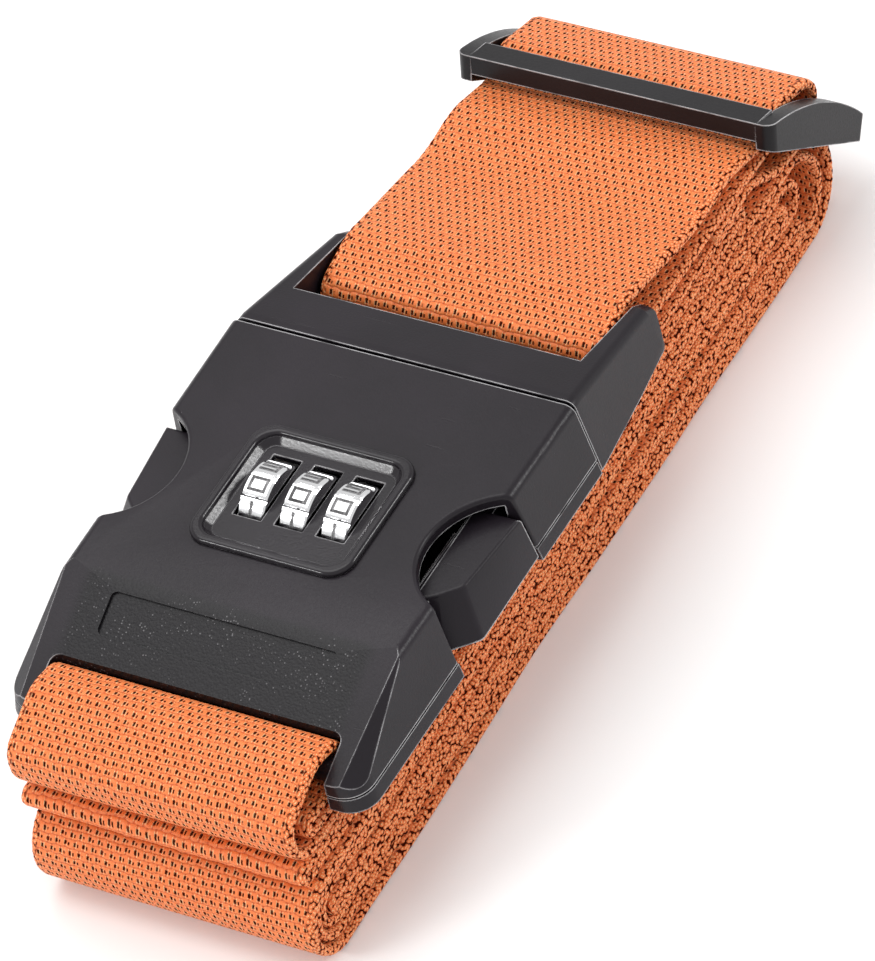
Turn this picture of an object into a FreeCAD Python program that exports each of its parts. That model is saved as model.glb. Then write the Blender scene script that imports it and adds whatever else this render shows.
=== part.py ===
"""Luggage strap: a 50 mm webbing strap folded into a flat pack, with a side-release buckle that has a
three-dial combination lock, and a tri-glide length adjuster.

Frame: X across the strap, Y along it (far end and tri-glide at +Y), Z up. The origin is the middle of the
pack's footprint on the surface it lies on. All sizes are in millimetres.
"""
import os

import FreeCAD
import Part
from FreeCAD import Rotation, Vector
from math import acos, atan2, cos, degrees, hypot, pi, radians, sin, tan

# ---------------------------------------------------------------- driving dimensions
WEB_WIDTH = 50.0
WEB_THICK = 1.75
LAYER_PITCH = 2.08          # webbing thickness plus the air between two folded layers

BUCKLE_BOTTOM = 25.0
BUCKLE_TOP = 39.0
SEAM_Y = -2.9               # where the female and male halves meet
FEMALE_NEAR_Y = -75.4
FEMALE_HALF_TOP = 30.3
FEMALE_HALF_BOTTOM = 32.2
TAPER_Y = -54.1             # the top face slopes down from here to the strap slot
SLOPE_RISE = 5.8
SLOPE_RUN = 13.5
PARTING_Z = 27.8            # joint line between top shell and bottom cover
PARTING_GROOVE = 0.3
WALL = 2.0
CAVITY_HALF = 28.8
CAVITY_NEAR_Y = -63.4
SLOT_HALF = 25.45
SLOT_CORNER_R = 1.5
LIP_Y = -67.6
LIP_UNDER_Z = 31.6
NEAR_WALL_Y = -66.9

NOTCH_X = 34.4
NOTCH_Y = -33.7
NOTCH_R = 12.4

FEMALE_BAR = (-71.4, 29.2)
FEMALE_BAR_R = 2.0

DIAL_AXIS = (-31.6, 34.2)
DIAL_R = 6.6
DIAL_WIDTH = 4.6
DIAL_PITCH = 7.3
DIAL_BORE_R = 3.6
DIAL_SIDES = ("left", "middle", "right")
DIGITS = 10
RUNNING_FIT = 0.05
SHAFT_R = 1.25
CAM_R = 3.5
CAM_WIDTH = 1.8
GATE_DEPTH_R = 2.05
GATE_WIDTH = 3.0

FRAME_HALF_X = 14.3
FRAME_Y = (-45.6, -20.6)
FRAME_TOP = 40.0
FRAME_FLOOR = 38.2
FRAME_PLATE = 1.0
CHEEK_X = (11.8, 12.95)
RIM_WIDTH = 1.8
WELL_LEAN = 1.0

MALE_FAR_Y = 26.0
MALE_SEAM_Y = -2.1
MALE_PLATE_END_Y = 7.4
MALE_BAR = (15.4, 29.4)
MALE_BAR_R = 1.9
MALE_TOP_SEAM = 38.8
MALE_TOP_FAR = 33.6

ARM_PIVOT = (25.0, -3.6)
ARM_TIP_Y = -47.2
BUTTON_FAR_Y = -22.9
BUTTON_TOP = 35.2
BUTTON_BOTTOM = 27.4

CENTRE_BAR = (73.7, 22.6)
CENTRE_BAR_R = 1.75
TRIGLIDE_INNER = 25.6
TRIGLIDE_OUTER = 28.4

SCREW_POINTS = ((-19.0, -58.6), (19.0, -58.6), (-15.6, -8.2), (15.6, -8.2))
SCREW_R = 1.1
BOSS_R = 2.9
SPRING_SIDES = 16           # straight pieces of wire in one turn of a coil spring

HALF_WEB = WEB_WIDTH / 2
HALF_THICK = WEB_THICK / 2


# ---------------------------------------------------------------- helpers
def box(x, y, z):
    """Box between two X, two Y and two Z values."""
    return Part.makeBox(x[1] - x[0], y[1] - y[0], z[1] - z[0], Vector(x[0], y[0], z[0]))


def cylinder_x(radius, x, centre):
    """Cylinder along X between two X values, its axis at (y, z)."""
    return Part.makeCylinder(radius, x[1] - x[0], Vector(x[0], *centre), Vector(1, 0, 0))


def cylinder_z(radius, centre, z):
    return Part.makeCylinder(radius, z[1] - z[0], Vector(centre[0], centre[1], z[0]))


def side_prism(points, x):
    """Polygon given as (y, z) points, extruded along X between two X values."""
    loop = [Vector(x[0], *p) for p in points]
    face = Part.Face(Part.makePolygon(loop + loop[:1]))
    return face.extrude(Vector(x[1] - x[0], 0, 0))


def plan_prism(points, z):
    """Polygon given as (x, y) points, extruded along Z between two Z values."""
    loop = [Vector(p[0], p[1], z[0]) for p in points]
    face = Part.Face(Part.makePolygon(loop + loop[:1]))
    return face.extrude(Vector(0, 0, z[1] - z[0]))


def mirrored(shape):
    """The shape and its mirror image across the middle plane X = 0."""
    return [shape, shape.mirror(Vector(0, 0, 0), Vector(1, 0, 0))]


def joined(shapes):
    first, rest = shapes[0], shapes[1:]
    return first.fuse(rest).removeSplitter()


def rounded(shape, radius, wanted):
    """Fillet the edges for which wanted(edge) is true."""
    edges = [e for e in shape.Edges if wanted(e)]
    return shape.makeFillet(radius, edges) if edges else shape


def lengthwise(edge):
    """True for a straight edge that runs mostly along Y."""
    a, b = edge.Vertexes[0].Point, edge.Vertexes[-1].Point
    return abs(a.y - b.y) > 3.0 * max(abs(a.x - b.x), abs(a.z - b.z), 0.5)


def steep(edge):
    """True for a straight edge that runs mostly along Z."""
    a, b = edge.Vertexes[0].Point, edge.Vertexes[-1].Point
    return abs(a.z - b.z) > 2.0 * max(abs(a.x - b.x), abs(a.y - b.y), 0.2)


def save(node, shape):
    solids = [s for s in shape.Solids if s.Volume > 1e-3]
    out = solids[0] if len(solids) == 1 else Part.makeCompound(solids)
    if not out.isValid():
        print("not valid:", node)
    out.exportStep(os.path.join("parts", node + ".step"))
    print(f"{node}: {len(solids)} solid, {sum(s.Volume for s in solids):.1f} mm3")


# ---------------------------------------------------------------- webbing
def route_pieces(route):
    """Straight runs and tangent arcs of a route given as (y, z, corner radius) points."""
    pieces = []
    start = Vector(0, route[0][0], route[0][1])
    for before, here, after in zip(route, route[1:], route[2:]):
        corner = Vector(0, here[0], here[1])
        inward = (corner - Vector(0, before[0], before[1])).normalize()
        outward = (Vector(0, after[0], after[1]) - corner).normalize()
        turn = acos(max(-1.0, min(1.0, inward.dot(outward))))
        left = inward.y * outward.z - inward.z * outward.y > 0
        cut = here[2] * tan(turn / 2)
        arc_start = corner - inward * cut
        arc_end = corner + outward * cut
        normal = Vector(0, -inward.z, inward.y) * (1 if left else -1)
        centre = arc_start + normal * here[2]
        pieces.append(("run", start, arc_start))
        pieces.append(("arc", arc_start, arc_end, centre, left, here[2], turn))
        start = arc_end
    pieces.append(("run", start, Vector(0, route[-1][0], route[-1][1])))
    return pieces


def route_length(route):
    total = 0.0
    for piece in route_pieces(route):
        total += piece[5] * piece[6] if piece[0] == "arc" else (piece[2] - piece[1]).Length
    return total


def edge_line(route, side):
    """One long edge of the webbing's section: the route moved half a thickness to one side."""
    edges = []
    for piece in route_pieces(route):
        if piece[0] == "run":
            run = piece[2] - piece[1]
            if run.Length < 1e-6:
                continue
            along = Vector(run).normalize()
            shift = Vector(0, -along.z, along.y) * side
            edges.append(Part.LineSegment(piece[1] + shift, piece[2] + shift).toShape())
            continue
        _, start, end, centre, left, radius, turn = piece
        scale = (radius - side if left else radius + side) / radius
        a = centre + (start - centre) * scale
        b = centre + (end - centre) * scale
        middle = Rotation(Vector(1, 0, 0), degrees(turn / 2 if left else -turn / 2))
        edges.append(Part.Arc(a, centre + middle.multVec(a - centre), b).toShape())
    return edges


def webbing(route):
    """A band of webbing whose middle line follows the route, as wide as the strap."""
    upper = edge_line(route, HALF_THICK)
    lower = edge_line(route, -HALF_THICK)
    ends = [
        Part.LineSegment(upper[i].Vertexes[j].Point, lower[i].Vertexes[j].Point).toShape()
        for i, j in ((0, 0), (-1, -1))
    ]
    wire = Part.Wire(Part.__sortEdges__(upper + lower + ends))
    band = Part.Face(wire).extrude(Vector(WEB_WIDTH, 0, 0))
    band.translate(Vector(-HALF_WEB, 0, 0))
    return band


def level(k):
    """Height of the middle of folded layer k, counted from the one on the ground."""
    return HALF_THICK + LAYER_PITCH * k


def fold(y, k_from, k_to):
    """The two corners of a U-turn from one layer to another, with its outermost point at y."""
    radius = LAYER_PITCH * abs(k_from - k_to) / 2 * 0.999
    return [(y, level(k_from), radius), (y, level(k_to), radius)]


# From the end sewn under the female buckle, round its bar, then back and forth through the pack.
PACK_ROUTE = [
    (-31.6, level(11), 0),
    (-80.1, level(11), 1.2),
    (-80.1, 26.2, 1.2),
    (-68.3, 26.2, 3.0),
    (-68.3, 32.1, 2.9),
    (-74.8, 33.6, 7.0),
    (-84.3, 29.2, 3.5),
    (-84.3, level(10), 4.2),
    *fold(56.5, 10, 9),
    *fold(-84.2, 9, 8),
    *fold(77.0, 8, 1),
    *fold(-84.65, 1, 6),
    *fold(65.4, 6, 5),
    *fold(-82.57, 5, 2),
    *fold(68.5, 2, 3),
    *fold(-80.5, 3, 4),
    *fold(70.4, 4, 7),
    *fold(-86.725, 7, 0),
    (48.4, level(0), 0),
]

# On from the pack: up the far end, over the tri-glide's centre bar, along the top, round the male
# buckle's bar and back to the tri-glide, where the end is sewn round the centre bar.
LOOP_ROUTE = [
    (48.4, level(0), 0),
    (81.0, level(0), 9.5),
    (81.0, 26.6, 4.0),
    (70.0, 30.1, 4.0),
    (64.4, 27.6, 5.0),
    (54.4, 30.6, 15.0),
    (44.4, 29.9, 25.0),
    (22.4, 34.3, 9.0),
    (12.3, 32.4, 3.0),
    (12.3, 26.4, 3.05),
    (76.53, 25.43, 2.8),
    (76.53, 19.77, 2.8),
    (66.9, 19.77, 5.0),
    (59.9, 23.75, 5.0),
    (47.4, 23.75, 0),
]


def make_webbing():
    save("webbing_pack", webbing(PACK_ROUTE))
    save("webbing_adjust_loop", webbing(LOOP_ROUTE))
    print(f"webbing length {route_length(PACK_ROUTE) + route_length(LOOP_ROUTE):.0f} mm")


# ---------------------------------------------------------------- female buckle
def plan_wire(half_seam, half_near, seam_y, near_y, corner, z):
    """Closed outline of a buckle half: square at the seam, rounded corners at the strap end."""
    s = 1 if near_y > seam_y else -1
    k = corner * (1 - cos(pi / 4))
    right = [
        Part.LineSegment(Vector(half_seam, seam_y, z), Vector(half_near, near_y - s * corner, z)),
        Part.Arc(
            Vector(half_near, near_y - s * corner, z),
            Vector(half_near - k, near_y - s * k, z),
            Vector(half_near - corner, near_y, z),
        ),
    ]
    end = Part.LineSegment(Vector(half_near - corner, near_y, z), Vector(corner - half_near, near_y, z))
    left = [
        Part.Arc(
            Vector(corner - half_near, near_y, z),
            Vector(k - half_near, near_y - s * k, z),
            Vector(-half_near, near_y - s * corner, z),
        ),
        Part.LineSegment(Vector(-half_near, near_y - s * corner, z), Vector(-half_seam, seam_y, z)),
    ]
    seam = Part.LineSegment(Vector(-half_seam, seam_y, z), Vector(half_seam, seam_y, z))
    return Part.Wire([g.toShape() for g in right + [end] + left + [seam]])


def female_outer(inset=0.0):
    """Outer form of the closed female half: drafted walls, and a top that slopes down to the strap."""
    near = FEMALE_NEAR_Y + inset
    half = FEMALE_HALF_BOTTOM - inset
    low = plan_wire(half, half - 0.4, SEAM_Y - inset, near, 4.5, BUCKLE_BOTTOM)
    half = FEMALE_HALF_TOP - inset
    high = plan_wire(half, half - 1.2, SEAM_Y - inset, near + 1.0, 4.5, BUCKLE_TOP)
    body = Part.makeLoft([low, high], True, True)
    slope = SLOPE_RISE / SLOPE_RUN
    reach = 30.0
    wedge = side_prism(
        [
            (TAPER_Y, BUCKLE_TOP),
            (TAPER_Y - reach, BUCKLE_TOP - slope * reach),
            (TAPER_Y - reach, BUCKLE_TOP + 5),
            (TAPER_Y, BUCKLE_TOP + 5),
        ],
        (-40, 40),
    )
    body = body.cut(wedge)
    body = rounded(
        body, 1.8, lambda e: lengthwise(e) and e.CenterOfMass.z > 31 and abs(e.CenterOfMass.x) > 26
    )
    facets = []
    for s in (1, -1):
        corners = [
            Vector(s * 30.4, TAPER_Y + 3, BUCKLE_TOP + 0.5),
            Vector(s * 26.6, LIP_Y - 2, 33.6),
            Vector(s * 31.6, FEMALE_NEAR_Y - 2, 26.0),
        ]
        normal = (corners[1] - corners[0]).cross(corners[2] - corners[0]).normalize()
        if normal.x * s < 0:
            normal = normal * -1
        facets.append(half_space(corners[0], normal))
    return body.cut(facets)


def half_space(point, normal, size=80.0):
    """A large block that fills the side of a plane its normal points to."""
    block = Part.makeBox(size, size, size, Vector(-size / 2, -size / 2, 0))
    block.rotate(Vector(0, 0, 0), *rotation_to(normal))
    block.translate(point)
    return block


def rotation_to(direction):
    """Axis and angle in degrees that turn +Z to the direction."""
    turn = Rotation(Vector(0, 0, 1), direction)
    return turn.Axis, degrees(turn.Angle)


def notches():
    """The round thumb notches in both sides, where the latch buttons are pressed."""
    return [cylinder_z(NOTCH_R, (s * NOTCH_X, NOTCH_Y), (20, 45)) for s in (1, -1)]


def notch_rim(edge):
    """True for the upper edges of the thumb notches."""
    centre = edge.CenterOfMass
    return (
        edge.BoundBox.ZMin > BUCKLE_TOP - 0.01
        and abs(hypot(abs(centre.x) - NOTCH_X, centre.y - NOTCH_Y) - NOTCH_R) < 4.0
        and NOTCH_X - NOTCH_R - 0.1 < abs(centre.x) < FEMALE_HALF_TOP - 1.0
        and edge.BoundBox.YLength > 6
    )


def strap_slot():
    """Opening between the side rails at the strap end of the female half."""
    below_lip = box((-SLOT_HALF, SLOT_HALF), (FEMALE_NEAR_Y - 3, NEAR_WALL_Y), (20, LIP_UNDER_Z))
    through_lip = box((-SLOT_HALF, SLOT_HALF), (FEMALE_NEAR_Y - 3, LIP_Y), (LIP_UNDER_Z - 0.5, 45))
    return [below_lip, rounded(through_lip, SLOT_CORNER_R, steep)]


def female_cavity():
    """Space inside the closed female half."""
    top = BUCKLE_TOP - WALL
    slope = SLOPE_RISE / SLOPE_RUN
    drop = slope * (TAPER_Y - CAVITY_NEAR_Y)
    section = [
        (SEAM_Y + 1, BUCKLE_BOTTOM + WALL),
        (SEAM_Y + 1, top),
        (TAPER_Y, top),
        (CAVITY_NEAR_Y, top - drop),
        (CAVITY_NEAR_Y, BUCKLE_BOTTOM + WALL),
    ]
    return side_prism(section, (-CAVITY_HALF, CAVITY_HALF))


def make_female_shells():
    outer = female_outer().cut(notches() + strap_slot())
    split = box((-45, 45), (-90, 10), (PARTING_Z, 50))
    cavity = female_cavity()

    top = outer.common(split).cut(cavity)
    bosses = [
        cylinder_z(BOSS_R, p, (BUCKLE_BOTTOM + WALL + 0.1, BUCKLE_TOP - WALL + 0.5)) for p in SCREW_POINTS[2:]
    ]
    bosses += [cylinder_z(BOSS_R, p, (BUCKLE_BOTTOM + WALL + 0.1, 35.8)) for p in SCREW_POINTS[:2]]
    bar = cylinder_x(FEMALE_BAR_R, (-SLOT_HALF - 1, SLOT_HALF + 1), FEMALE_BAR)
    # two ribs hold the shaft's carrier and guide the male half's tongue
    ribs = [box((10.4, 12.0), (-15.4, -5.0), (31.0, 37.4))]
    ribs += mirrored(ribs[0])[1:]
    # two posts that the lock springs push against
    posts = mirrored(box((15.0, 18.0), (-30.4, -28.6), (31.4, 37.4)))
    top = joined([top, bar] + bosses + ribs + posts)
    pilot = [cylinder_z(SCREW_R, p, (20, 34.8)) for p in SCREW_POINTS]
    window = box((-FRAME_HALF_X + 1.2, FRAME_HALF_X - 1.2), (FRAME_Y[0] + 1.2, FRAME_Y[1] - 1.2), (30, 45))
    top = top.cut(pilot + [window, label_recess()])
    top = rounded(top, 0.7, notch_rim)
    save("female_top_shell", top)

    # a fine groove shows where the two mouldings meet
    groove = box((-45, 45), (-90, 10), (PARTING_Z - PARTING_GROOVE, PARTING_Z))
    groove = groove.cut(female_outer(PARTING_GROOVE))
    bottom = outer.cut([split, groove]).cut(cavity)
    heads = [cylinder_z(2.15, p, (20, BUCKLE_BOTTOM + 1.0)) for p in SCREW_POINTS]
    holes = [cylinder_z(SCREW_R + 0.15, p, (20, 30)) for p in SCREW_POINTS]
    # openings under the latch buttons, and seats for the ends of the strap bar
    under = mirrored(box((17.5, 28.9), (-47.8, -22.4), (20, 30)))
    save("female_bottom_cover", bottom.cut(heads + holes + under + [bar]))


def label_recess():
    """Shallow recess for a label on the sloping end of the top."""
    slope = atan2(SLOPE_RISE, SLOPE_RUN)
    recess = box((-19.8, 19.8), (-10.2, -3.2), (-0.45, 5))
    recess = rounded(recess, 1.0, steep)
    recess.rotate(Vector(0, 0, 0), Vector(1, 0, 0), degrees(slope))
    recess.translate(Vector(0, TAPER_Y, BUCKLE_TOP))
    return recess


def make_case_screws():
    """Self-tapping screws that hold the bottom cover to the top shell."""
    screws = []
    for point in SCREW_POINTS:
        head = cylinder_z(1.95, point, (BUCKLE_BOTTOM + 0.1, BUCKLE_BOTTOM + 1.0))
        shank = cylinder_z(SCREW_R - 0.02, point, (BUCKLE_BOTTOM + 0.5, BUCKLE_BOTTOM + 8.5))
        slot_a = box((-1.3, 1.3), (-0.2, 0.2), (0, 0.55))
        slot_b = box((-0.2, 0.2), (-1.3, 1.3), (0, 0.55))
        cross = slot_a.fuse(slot_b)
        cross.translate(Vector(point[0], point[1], BUCKLE_BOTTOM + 0.05))
        screws.append(head.fuse(shank).cut(cross))
    save("case_screws", Part.makeCompound(screws))


# ---------------------------------------------------------------- combination lock
def dial_centres():
    return {side: (i - 1) * DIAL_PITCH for i, side in enumerate(DIAL_SIDES)}


def make_dial_frame():
    """Raised frame round the dials, with the recessed floor and the cheeks that carry the shaft."""
    y0, y1 = FRAME_Y
    rim = box((-FRAME_HALF_X, FRAME_HALF_X), (y0, y1), (BUCKLE_TOP, FRAME_TOP))
    rim = rounded(rim, 4.0, steep)
    inset = 1.3
    plug = box(
        (-FRAME_HALF_X + inset, FRAME_HALF_X - inset),
        (y0 + inset, y1 - inset),
        (FRAME_FLOOR - FRAME_PLATE, BUCKLE_TOP + 0.4),
    )
    well = box(
        (-FRAME_HALF_X + RIM_WIDTH, FRAME_HALF_X - RIM_WIDTH),
        (y0 + RIM_WIDTH, y1 - RIM_WIDTH),
        (FRAME_FLOOR, FRAME_TOP + 1),
    )
    well = rounded(well, 3.0, steep)
    # the wall of the well leans out from the floor
    well = well.makeChamfer(WELL_LEAN, [e for e in well.Edges if e.BoundBox.ZMax < FRAME_FLOOR + 1e-6])
    frame = joined([rim, plug]).cut(well)
    frame = rounded(frame, 0.7, lambda e: e.BoundBox.ZMin > FRAME_TOP - 1e-6)
    cheek = side_prism(
        [
            (DIAL_AXIS[0] - 4.5, FRAME_FLOOR - 0.5),
            (DIAL_AXIS[0] - 3.2, 31.0),
            (DIAL_AXIS[0] + 3.2, 31.0),
            (DIAL_AXIS[0] + 4.5, FRAME_FLOOR - 0.5),
        ],
        CHEEK_X,
    )
    frame = joined([frame] + mirrored(cheek))
    slots = [
        box((x - 2.5, x + 2.5), (DIAL_AXIS[0] - 6.35, DIAL_AXIS[0] + 6.35), (30, 45))
        for x in dial_centres().values()
    ]
    # room under the floor for the cams, which turn with the dials
    groove = cylinder_x(CAM_R + 0.2, (-CHEEK_X[0], CHEEK_X[0]), DIAL_AXIS)
    shaft_hole = cylinder_x(SHAFT_R + 0.03, (-20, 20), DIAL_AXIS)
    save("dial_frame", frame.cut(slots + [groove, shaft_hole]))


def make_dials():
    """Three number wheels with ten finger notches, and the clutch sleeve with its cam inside each."""
    for side, x in dial_centres().items():
        half = DIAL_WIDTH / 2
        wheel = cylinder_x(DIAL_R, (x - half, x + half), DIAL_AXIS)
        wheel = wheel.makeChamfer(0.3, [e for e in wheel.Edges if e.Curve.TypeId.endswith("Circle")])
        grooves = []
        for i in range(DIGITS):
            turn = radians(360.0 / DIGITS * (i + 0.5))
            centre = (DIAL_AXIS[0] + cos(turn) * (DIAL_R + 0.15), DIAL_AXIS[1] + sin(turn) * (DIAL_R + 0.15))
            grooves.append(cylinder_x(0.55, (x - 5, x + 5), centre))
        bore = cylinder_x(DIAL_BORE_R, (x - 5, x + 5), DIAL_AXIS)
        key_foot = DIAL_AXIS[1] - DIAL_BORE_R - 0.6
        key_way = box((x - 5, x + 5), (DIAL_AXIS[0] - 0.7, DIAL_AXIS[0] + 0.7), (key_foot - 0.1, key_foot + 1.2))
        save("dial_" + side, wheel.cut(grooves + [bore, key_way]))

        sleeve = cylinder_x(DIAL_BORE_R - RUNNING_FIT, (x - half, x + half + 0.15), DIAL_AXIS)
        key = box((x - half, x + half), (DIAL_AXIS[0] - 0.6, DIAL_AXIS[0] + 0.6), (key_foot, key_foot + 1.2))
        cam = cylinder_x(CAM_R, (x + half + 0.15, x + half + 0.15 + CAM_WIDTH), DIAL_AXIS)
        # the gate that the lock slider's finger enters, and its twin half a turn away
        gates = [
            box(
                (x + half + 0.15, x + half + 5),
                sorted((DIAL_AXIS[0] + s * GATE_DEPTH_R, DIAL_AXIS[0] + s * 8)),
                (DIAL_AXIS[1] - GATE_WIDTH / 2, DIAL_AXIS[1] + GATE_WIDTH / 2),
            )
            for s in (1, -1)
        ]
        sleeve = joined([sleeve, cam.cut(gates), key])
        shaft_hole = cylinder_x(SHAFT_R + RUNNING_FIT, (x - 5, x + 9), DIAL_AXIS)
        save("clutch_sleeve_" + side, sleeve.cut(shaft_hole))


def make_dial_shaft():
    shaft = cylinder_x(SHAFT_R, (-13.8, 13.8), DIAL_AXIS)
    save("dial_shaft", shaft.makeChamfer(0.3, [e for e in shaft.Edges if e.Curve.TypeId.endswith("Circle")]))
    clips = [
        cylinder_x(2.3, x, DIAL_AXIS).cut(cylinder_x(SHAFT_R + 0.02, x, DIAL_AXIS))
        for x in ((-13.45, -13.0), (13.0, 13.45))
    ]
    mouth = box((-20, 20), (DIAL_AXIS[0] - 0.9, DIAL_AXIS[0] + 0.9), (DIAL_AXIS[1] - 4, DIAL_AXIS[1]))
    save("shaft_clips", Part.makeCompound([c.cut(mouth) for c in clips]))


def coil_spring(radius, wire, length, turns):
    """Round-wire coil spring along +Z from the origin, its ends inside the given length."""
    steps = round(turns * SPRING_SIDES)
    slope = (length - wire) / (2 * pi * turns)
    rings = []
    for i in range(steps + 1):
        angle = 2 * pi * turns * i / steps
        centre = Vector(radius * cos(angle), radius * sin(angle), wire / 2 + slope * angle)
        along = Vector(-radius * sin(angle), radius * cos(angle), slope)
        rings.append(Part.Wire(Part.makeCircle(wire / 2, centre, along)))
    return Part.makeLoft(rings, True, True)


def make_springs():
    clutch = coil_spring(1.9, 0.4, 1.9, 2)
    clutch.rotate(Vector(0, 0, 0), Vector(0, 1, 0), 90)
    clutch.translate(Vector(-CHEEK_X[0] + 0.1, *DIAL_AXIS))
    save("clutch_spring", clutch)

    pair = []
    for x in (-16.5, 16.5):
        spring = coil_spring(0.9, 0.35, 5.2, 5)
        spring.rotate(Vector(0, 0, 0), Vector(1, 0, 0), -90)
        spring.translate(Vector(x, -28.5, 34.1))
        pair.append(spring)
    save("lock_springs", Part.makeCompound(pair))

    # flat leaf under the dials, one tongue to click each dial into place
    leaf = box((-11.6, 11.6), (-44.0, -39.6), (27.1, 27.35))
    tongues = [box((x - 1.6, x + 1.6), (-40.5, -29.6), (27.1, 27.35)) for x in dial_centres().values()]
    save("detent_spring", joined([leaf] + tongues))


def make_lock_slider():
    """Sliding bar with one finger for each cam, and wedge ends that the latch arms push back."""
    bar = plan_prism(
        [(-18.6, -20.0), (-18.6, -21.4), (-16.9, -23.1), (16.9, -23.1), (18.6, -21.4), (18.6, -20.0)],
        (32.8, 35.4),
    )
    fingers = []
    for x in dial_centres().values():
        cam_x = x + DIAL_WIDTH / 2 + 0.15 + CAM_WIDTH / 2
        fingers.append(box((cam_x - 0.75, cam_x + 0.75), (DIAL_AXIS[0] + CAM_R + 0.25, -22), (33.1, 35.3)))
    save("lock_slider", joined([bar] + fingers))

    plate = box((-13.0, 13.0), (-22.6, -16.4), (31.7, 32.5))
    posts = mirrored(box((6.0, 9.0), (-18.6, -16.4), (32.0, BUCKLE_TOP - WALL)))
    save("slider_retainer", joined([plate] + posts))


# ---------------------------------------------------------------- male buckle
def cross_section(y, half_low, half_high, z_low, z_high, radius):
    """Closed section of a buckle half at one Y: drafted sides and rounded top corners."""
    lean = atan2(half_low - half_high, z_high - z_low)
    turn = pi / 2 - lean
    side_cut = radius * tan(turn / 2)
    side_x = half_high + side_cut * sin(lean)
    side_z = z_high - side_cut * cos(lean)
    top_x = half_high - side_cut
    centre = Vector(top_x, y, z_high - radius)
    bulge = Vector(sin(turn / 2), 0, cos(turn / 2)) * radius
    right_arc = Part.Arc(Vector(side_x, y, side_z), centre + bulge, Vector(top_x, y, z_high))
    left_centre = Vector(-centre.x, y, centre.z)
    left_bulge = Vector(-bulge.x, 0, bulge.z)
    left_arc = Part.Arc(Vector(-top_x, y, z_high), left_centre + left_bulge, Vector(-side_x, y, side_z))
    low_right, low_left = Vector(half_low, y, z_low), Vector(-half_low, y, z_low)
    edges = [
        Part.LineSegment(low_left, low_right),
        Part.LineSegment(low_right, Vector(side_x, y, side_z)),
        right_arc,
        Part.LineSegment(Vector(top_x, y, z_high), Vector(-top_x, y, z_high)),
        left_arc,
        Part.LineSegment(Vector(-side_x, y, side_z), low_left),
    ]
    return Part.Wire([e.toShape() for e in edges])


def make_male():
    """Head with its strap slot, side rails and bar, and the tongue that enters the female half."""
    low = BUCKLE_BOTTOM - 0.3
    stations = [
        (MALE_SEAM_Y, 31.7, 29.8, MALE_TOP_SEAM),
        (-0.6, 31.6, 29.7, MALE_TOP_SEAM),
        (MALE_FAR_Y - 3.4, 29.2, 27.9, MALE_TOP_FAR),
        (MALE_FAR_Y - 1.2, 28.9, 27.8, 32.0),
        (MALE_FAR_Y, 28.6, 27.8, 29.6),
    ]
    sections = [cross_section(y, a, b, low, top, 1.6) for y, a, b, top in stations]
    head = Part.makeLoft(sections, True, True)
    slot = box((-SLOT_HALF, SLOT_HALF), (MALE_PLATE_END_Y, MALE_FAR_Y + 5), (20, 50))
    # the strap side of the head is hollow under its top plate
    hollow = box((-23.0, 23.0), (-0.4, MALE_PLATE_END_Y + 1), (27.0, 36.0))
    bar = cylinder_x(MALE_BAR_R, (-SLOT_HALF - 1, SLOT_HALF + 1), MALE_BAR)
    tongue = box((-9.0, 9.0), (-15.0, MALE_SEAM_Y + 0.5), (29.0, 35.6))
    tongue = rounded(tongue, 1.2, lambda e: e.BoundBox.YMax < -14.9)
    outline = Part.Face(plan_wire(32.2, 29.0, MALE_SEAM_Y, MALE_FAR_Y, 4.0, 20))
    head = head.common(outline.extrude(Vector(0, 0, 30)))
    male = joined([head.cut([slot, hollow]), bar, tongue])
    # sockets round the arm roots, so that the arms can bend
    sockets = mirrored(cylinder_z(2.6, ARM_PIVOT, (27.4, 35.4)))
    save("male_body", male.cut(sockets))


def thumb_side(edge):
    """True for the standing edges of a button where the thumb presses."""
    centre = edge.CenterOfMass
    return edge.BoundBox.ZLength > 7.0 and centre.x > 29.5 and centre.y < -26.0


def make_latch_arms():
    """Spring arms that end in the thumb buttons; the far face of each button is the catch."""
    blade = plan_prism(
        [
            (23.4, -4.2), (26.6, -4.2), (26.2, BUTTON_FAR_Y - 1),
            (25.6, -42.0), (22.6, -42.0), (23.0, BUTTON_FAR_Y),
        ],
        (28.2, 34.6),
    )
    root = cylinder_z(2.5, ARM_PIVOT, (27.5, 35.3))
    foot = [
        (23.6, BUTTON_FAR_Y), (32.6, BUTTON_FAR_Y), (32.7, -40.4), (28.4, -44.4), (23.6, ARM_TIP_Y),
    ]
    crown = [
        (23.6, BUTTON_FAR_Y), (31.2, BUTTON_FAR_Y), (29.6, -37.6), (26.8, -40.2), (23.6, -42.4),
    ]
    wires = [
        Part.makePolygon([Vector(x, y, z) for x, y in points + points[:1]])
        for points, z in ((foot, BUTTON_BOTTOM), (crown, BUTTON_TOP))
    ]
    button = Part.makeLoft(wires, True, True)
    button = rounded(button, 1.8, thumb_side)
    button = rounded(button, 0.7, lambda e: e.BoundBox.ZMin > BUTTON_TOP - 0.01 and e.CenterOfMass.x > 25)
    wedge = plan_prism(
        [(23.6, -18.6), (19.8, -18.6), (19.8, -20.8), (22.2, -23.2), (23.6, -24.0)],
        (33.0, 34.6),
    )
    arm = joined([blade, root, button, wedge])
    for side, shape in zip(("right", "left"), mirrored(arm)):
        save("latch_arm_" + side, shape)


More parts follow.
